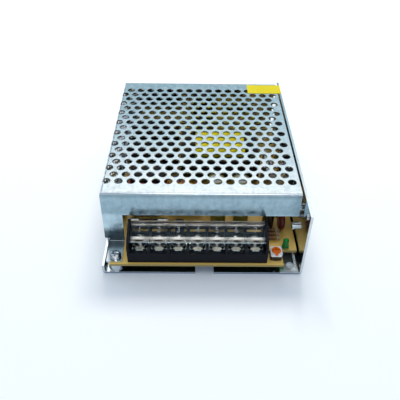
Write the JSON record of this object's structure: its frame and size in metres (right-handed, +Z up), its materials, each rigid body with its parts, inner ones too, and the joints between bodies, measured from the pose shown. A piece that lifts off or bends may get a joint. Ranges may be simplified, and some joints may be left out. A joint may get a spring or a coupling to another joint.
{
  "type": "enclosed switching power supply",
  "caption": "Mesh covered switching power supply: folded sheet chassis with a heat sink wall, perforated cover, circuit board and screw terminal strip under a hinged clear lid.",
  "frame": {"origin": "centre of the base's lower face, halfway along and across the case", "axes": "+Z up from the base; -Y towards the terminal strip (the picture's near side); +X towards the tall heat sink wall"},
  "size_m": [0.1014, 0.129, 0.0382],
  "materials": {
    "cover_steel": "galvanised sheet, satin",
    "chassis_steel": "galvanised sheet, satin",
    "screw_steel": "nickel plated",
    "contact_metal": "tinned",
    "label_paper": "printed paper",
    "sheet_plastic": "thin matt sheet",
    "board_fibre": "paper laminate",
    "strip_plastic": "moulded, semi gloss",
    "lid_plastic": "clear moulding",
    "fuse_glass": "clear glass",
    "blue_coat": "dipped epoxy",
    "dark_green_coat": "dipped epoxy",
    "red_coat": "dipped epoxy",
    "grey_plastic": "moulded box",
    "black_plastic": "moulded epoxy",
    "white_plastic": "moulded",
    "can_sleeve": "shrunk sleeve",
    "can_metal": "bare can top",
    "ferrite": "sintered",
    "copper_wire": "enamelled wire",
    "winding_tape": "polyester tape",
    "pad_rubber": "silicone pad",
    "resistor_coat": "lacquered",
    "led_green": "clear tinted epoxy",
    "rotor_orange": "moulded"
  },
  "bodies": {
    "supply": {"chassis": "chassis_steel", "cover": "cover_steel", "tab_screw": "screw_steel", "board_screws": "screw_steel", "corner_screw": "screw_steel", "cover_label": "label_paper", "insulation_sheet": "sheet_plastic", "circuit_board": "board_fibre", "terminal_block": "strip_plastic", "contact_plates": "contact_metal", "fuse_tube": "fuse_glass", "fuse_caps": "contact_metal", "thermistor": "dark_green_coat", "safety_capacitors": "blue_coat", "x_capacitor": "grey_plastic", "line_choke_base": "black_plastic", "line_choke_core": "ferrite", "line_choke_winding": "copper_wire", "bridge_rectifier": "black_plastic", "bulk_capacitors": "can_sleeve", "transformer_core": "ferrite", "transformer_bobbin": "black_plastic", "transformer_winding": "winding_tape", "drive_transformer": "winding_tape", "wall_transistors": "black_plastic", "insulating_pads": "pad_rubber", "clamp_bars": "screw_steel", "clamp_screws": "screw_steel", "output_heatsink": "can_metal", "output_rectifier": "black_plastic", "rectifier_screw": "screw_steel", "output_choke_core": "white_plastic", "output_choke_winding": "copper_wire", "output_capacitors": "can_sleeve", "filter_capacitor": "black_plastic", "film_capacitor": "red_coat", "signal_resistors": "resistor_coat", "power_led": "led_green", "trimmer_body": "white_plastic", "control_chip": "black_plastic", "optocoupler": "black_plastic"},
    "lid": {"terminal_lid": "lid_plastic"},
    "rotor": {"trimmer_rotor": "rotor_orange"},
    "washer_1": {"terminal_washer_1": "contact_metal"},
    "screw_1": {"terminal_screw_1": "screw_steel"},
    "washer_2": {"terminal_washer_2": "contact_metal"},
    "screw_2": {"terminal_screw_2": "screw_steel"},
    "washer_3": {"terminal_washer_3": "contact_metal"},
    "screw_3": {"terminal_screw_3": "screw_steel"},
    "washer_4": {"terminal_washer_4": "contact_metal"},
    "screw_4": {"terminal_screw_4": "screw_steel"},
    "washer_5": {"terminal_washer_5": "contact_metal"},
    "screw_5": {"terminal_screw_5": "screw_steel"},
    "washer_6": {"terminal_washer_6": "contact_metal"},
    "screw_6": {"terminal_screw_6": "screw_steel"},
    "washer_7": {"terminal_washer_7": "contact_metal"},
    "screw_7": {"terminal_screw_7": "screw_steel"}
  },
  "joints": [
    {"name": "lid_swing", "type": "hinge", "parent": "supply", "child": "lid", "pos_m": [-0.0026, -0.0494, 0.0212], "axis": [-1, 0, 0], "range_deg": [0, 95]},
    {"name": "trimmer_turn", "type": "hinge", "parent": "supply", "child": "rotor", "pos_m": [0.0366, -0.0589, 0.0112], "axis": [0, 0, 1], "range_deg": [-135, 135]},
    {"name": "washer_rise_1", "type": "slide", "parent": "supply", "child": "washer_1", "axis": [0, 0, 1], "range_m": [0, 0.0024]},
    {"name": "screw_turn_1", "type": "hinge", "parent": "washer_1", "child": "screw_1", "pos_m": [-0.0311, -0.0557, 0.0146], "axis": [0, 0, 1], "range_deg": [0, 1440]},
    {"name": "washer_rise_2", "type": "slide", "parent": "supply", "child": "washer_2", "axis": [0, 0, 1], "range_m": [0, 0.0024]},
    {"name": "screw_turn_2", "type": "hinge", "parent": "washer_2", "child": "screw_2", "pos_m": [-0.0216, -0.0557, 0.0146], "axis": [0, 0, 1], "range_deg": [0, 1440]},
    {"name": "washer_rise_3", "type": "slide", "parent": "supply", "child": "washer_3", "axis": [0, 0, 1], "range_m": [0, 0.0024]},
    {"name": "screw_turn_3", "type": "hinge", "parent": "washer_3", "child": "screw_3", "pos_m": [-0.0121, -0.0557, 0.0146], "axis": [0, 0, 1], "range_deg": [0, 1440]},
    {"name": "washer_rise_4", "type": "slide", "parent": "supply", "child": "washer_4", "axis": [0, 0, 1], "range_m": [0, 0.0024]},
    {"name": "screw_turn_4", "type": "hinge", "parent": "washer_4", "child": "screw_4", "pos_m": [-0.0026, -0.0557, 0.0146], "axis": [0, 0, 1], "range_deg": [0, 1440]},
    {"name": "washer_rise_5", "type": "slide", "parent": "supply", "child": "washer_5", "axis": [0, 0, 1], "range_m": [0, 0.0024]},
    {"name": "screw_turn_5", "type": "hinge", "parent": "washer_5", "child": "screw_5", "pos_m": [0.0069, -0.0557, 0.0146], "axis": [0, 0, 1], "range_deg": [0, 1440]},
    {"name": "washer_rise_6", "type": "slide", "parent": "supply", "child": "washer_6", "axis": [0, 0, 1], "range_m": [0, 0.0024]},
    {"name": "screw_turn_6", "type": "hinge", "parent": "washer_6", "child": "screw_6", "pos_m": [0.0164, -0.0557, 0.0146], "axis": [0, 0, 1], "range_deg": [0, 1440]},
    {"name": "washer_rise_7", "type": "slide", "parent": "supply", "child": "washer_7", "axis": [0, 0, 1], "range_m": [0, 0.0024]},
    {"name": "screw_turn_7", "type": "hinge", "parent": "washer_7", "child": "screw_7", "pos_m": [0.0259, -0.0557, 0.0146], "axis": [0, 0, 1], "range_deg": [0, 1440]}
  ],
  "couplings": [
    {"joint": "screw_turn_1", "follows": "washer_rise_1", "rad_per_m": 10472},
    {"joint": "screw_turn_2", "follows": "washer_rise_2", "rad_per_m": 10472},
    {"joint": "screw_turn_3", "follows": "washer_rise_3", "rad_per_m": 10472},
    {"joint": "screw_turn_4", "follows": "washer_rise_4", "rad_per_m": 10472},
    {"joint": "screw_turn_5", "follows": "washer_rise_5", "rad_per_m": 10472},
    {"joint": "screw_turn_6", "follows": "washer_rise_6", "rad_per_m": 10472},
    {"joint": "screw_turn_7", "follows": "washer_rise_7", "rad_per_m": 10472}
  ]
}
